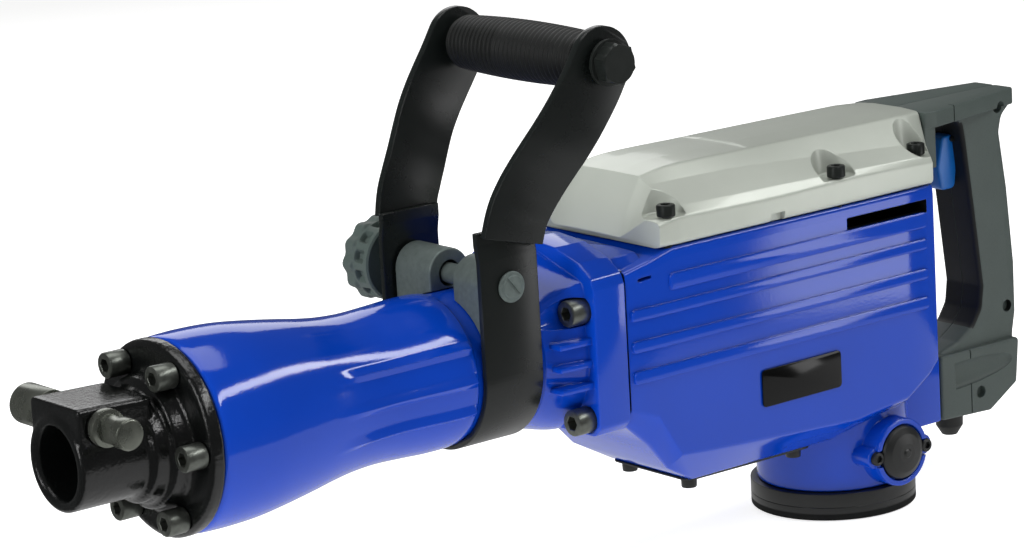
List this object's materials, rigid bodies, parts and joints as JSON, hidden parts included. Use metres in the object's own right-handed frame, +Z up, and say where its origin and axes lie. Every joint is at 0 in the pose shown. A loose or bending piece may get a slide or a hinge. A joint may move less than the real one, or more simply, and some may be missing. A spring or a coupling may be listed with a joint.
{
  "type": "electric demolition hammer",
  "caption": "Electric demolition hammer: flanged nose with cross-pin tool retainer, waisted barrel, swivelling bail handle, ribbed housing, upright motor, rear D-handle.",
  "frame": {"origin": "middle of the motor tail cap's flat underside", "axes": "+X rearwards along the tool axis, from the nose to the D-handle; +Z up; the near side of the tool is -Y"},
  "size_m": [0.709, 0.163, 0.337],
  "materials": {
    "black_enamel": "gloss",
    "black_oxide": "satin",
    "blue_enamel": "gloss",
    "silver_enamel": "satin",
    "hardened_steel": "satin",
    "cast_alloy": "satin",
    "zinc_plated": "matte",
    "laminations": "matte",
    "carbon": "matte",
    "black_plastic": "satin",
    "grey_plastic": "matte",
    "azure_plastic": "satin",
    "rubber": "matte"
  },
  "bodies": {
    "hammer": {"front_cover": "black_enamel", "front_bolt_1": "black_oxide", "front_bolt_2": "black_oxide", "front_bolt_3": "black_oxide", "front_bolt_4": "black_oxide", "front_bolt_5": "black_oxide", "front_bolt_6": "black_oxide", "case_bolt_1": "black_oxide", "case_bolt_2": "black_oxide", "case_bolt_3": "black_oxide", "case_bolt_4": "black_oxide", "cover_bolt_1": "black_oxide", "cover_bolt_2": "black_oxide", "cover_bolt_3": "black_oxide", "cover_bolt_4": "black_oxide", "cover_bolt_5": "black_oxide", "cover_bolt_6": "black_oxide", "cylinder_case": "blue_enamel", "main_housing": "blue_enamel", "top_cover": "silver_enamel", "tool_holder": "hardened_steel", "cylinder_liner": "hardened_steel", "crank_bearing": "hardened_steel", "armature_bearing_top": "hardened_steel", "armature_bearing_bottom": "hardened_steel", "bearing_plate": "cast_alloy", "stator": "laminations", "carbon_brush_near": "carbon", "carbon_brush_far": "carbon", "tail_cap": "black_plastic", "brush_cap_near": "black_plastic", "brush_cap_far": "black_plastic", "switch_body": "black_plastic", "bottom_cover": "black_plastic", "badge_plate": "black_plastic", "rear_handle_near": "grey_plastic", "rear_handle_far": "grey_plastic", "cord_gland": "rubber"},
    "retainer": {"stop_lever": "black_oxide"},
    "chisel_anvil": {"impact_bolt": "hardened_steel"},
    "ram": {"striker": "hardened_steel"},
    "piston_body": {"piston": "cast_alloy", "piston_pin": "hardened_steel"},
    "rod": {"connecting_rod": "hardened_steel"},
    "crank": {"crankshaft": "hardened_steel"},
    "idler": {"idler_gear": "hardened_steel"},
    "rotor": {"armature": "hardened_steel", "fan": "black_plastic"},
    "trigger_body": {"trigger": "azure_plastic"},
    "lock_body": {"lock_button": "azure_plastic"},
    "front_handle": {"clamp_band": "black_enamel", "clamp_saddle_near": "zinc_plated", "clamp_saddle_far": "zinc_plated", "clamp_bolt": "zinc_plated", "handle_arm_near": "black_enamel", "handle_arm_far": "black_enamel", "handle_grip": "rubber", "grip_rod": "black_oxide", "grip_nut": "black_oxide"},
    "knob": {"clamp_knob": "grey_plastic"}
  },
  "joints": [
    {"name": "retainer_turn", "type": "hinge", "parent": "hammer", "child": "retainer", "pos_m": [-0.539, 0, 0.1665], "axis": [0, 1, 0], "range_deg": [0, 180]},
    {"name": "anvil_slide", "type": "slide", "parent": "hammer", "child": "chisel_anvil", "axis": [1, 0, 0], "range_m": [-0.006, 0.006]},
    {"name": "ram_slide", "type": "slide", "parent": "hammer", "child": "ram", "axis": [1, 0, 0], "range_m": [-0.012, 0.024]},
    {"name": "piston_slide", "type": "slide", "parent": "hammer", "child": "piston_body", "axis": [1, 0, 0], "range_m": [-0.026, 0.026]},
    {"name": "rod_swing", "type": "hinge", "parent": "piston_body", "child": "rod", "pos_m": [-0.19149, 0, 0.145], "axis": [0, 0, 1], "range_deg": [-31, 0]},
    {"name": "crank_spin", "type": "hinge", "parent": "hammer", "child": "crank", "pos_m": [-0.097, 0, 0.165], "axis": [0, 0, 1], "continuous": true},
    {"name": "idler_spin", "type": "hinge", "parent": "hammer", "child": "idler", "pos_m": [-0.036, 0, 0.165], "axis": [0, 0, 1], "continuous": true},
    {"name": "rotor_spin", "type": "hinge", "parent": "hammer", "child": "rotor", "pos_m": [0, 0, 0.105], "axis": [0, 0, 1], "continuous": true},
    {"name": "trigger_squeeze", "type": "hinge", "parent": "hammer", "child": "trigger_body", "pos_m": [0.1065, 0, 0.211], "axis": [0, -1, 0], "range_deg": [0, 9], "stiffness_Nm_per_rad": 1.2},
    {"name": "lock_press", "type": "slide", "parent": "hammer", "child": "lock_body", "axis": [0, -1, 0], "range_m": [0, 0.002], "stiffness_N_per_m": 1200},
    {"name": "handle_swivel", "type": "hinge", "parent": "hammer", "child": "front_handle", "pos_m": [-0.282, 0, 0.145], "axis": [1, 0, 0], "continuous": true},
    {"name": "knob_turn", "type": "hinge", "parent": "front_handle", "child": "knob", "pos_m": [-0.282, 0.06, 0.196], "axis": [0, 1, 0], "range_deg": [0, 720]}
  ],
  "couplings": [
    {"joint": "idler_spin", "follows": "crank_spin", "ratio": -3.3571},
    {"joint": "rotor_spin", "follows": "crank_spin", "ratio": 11.292}
  ]
}
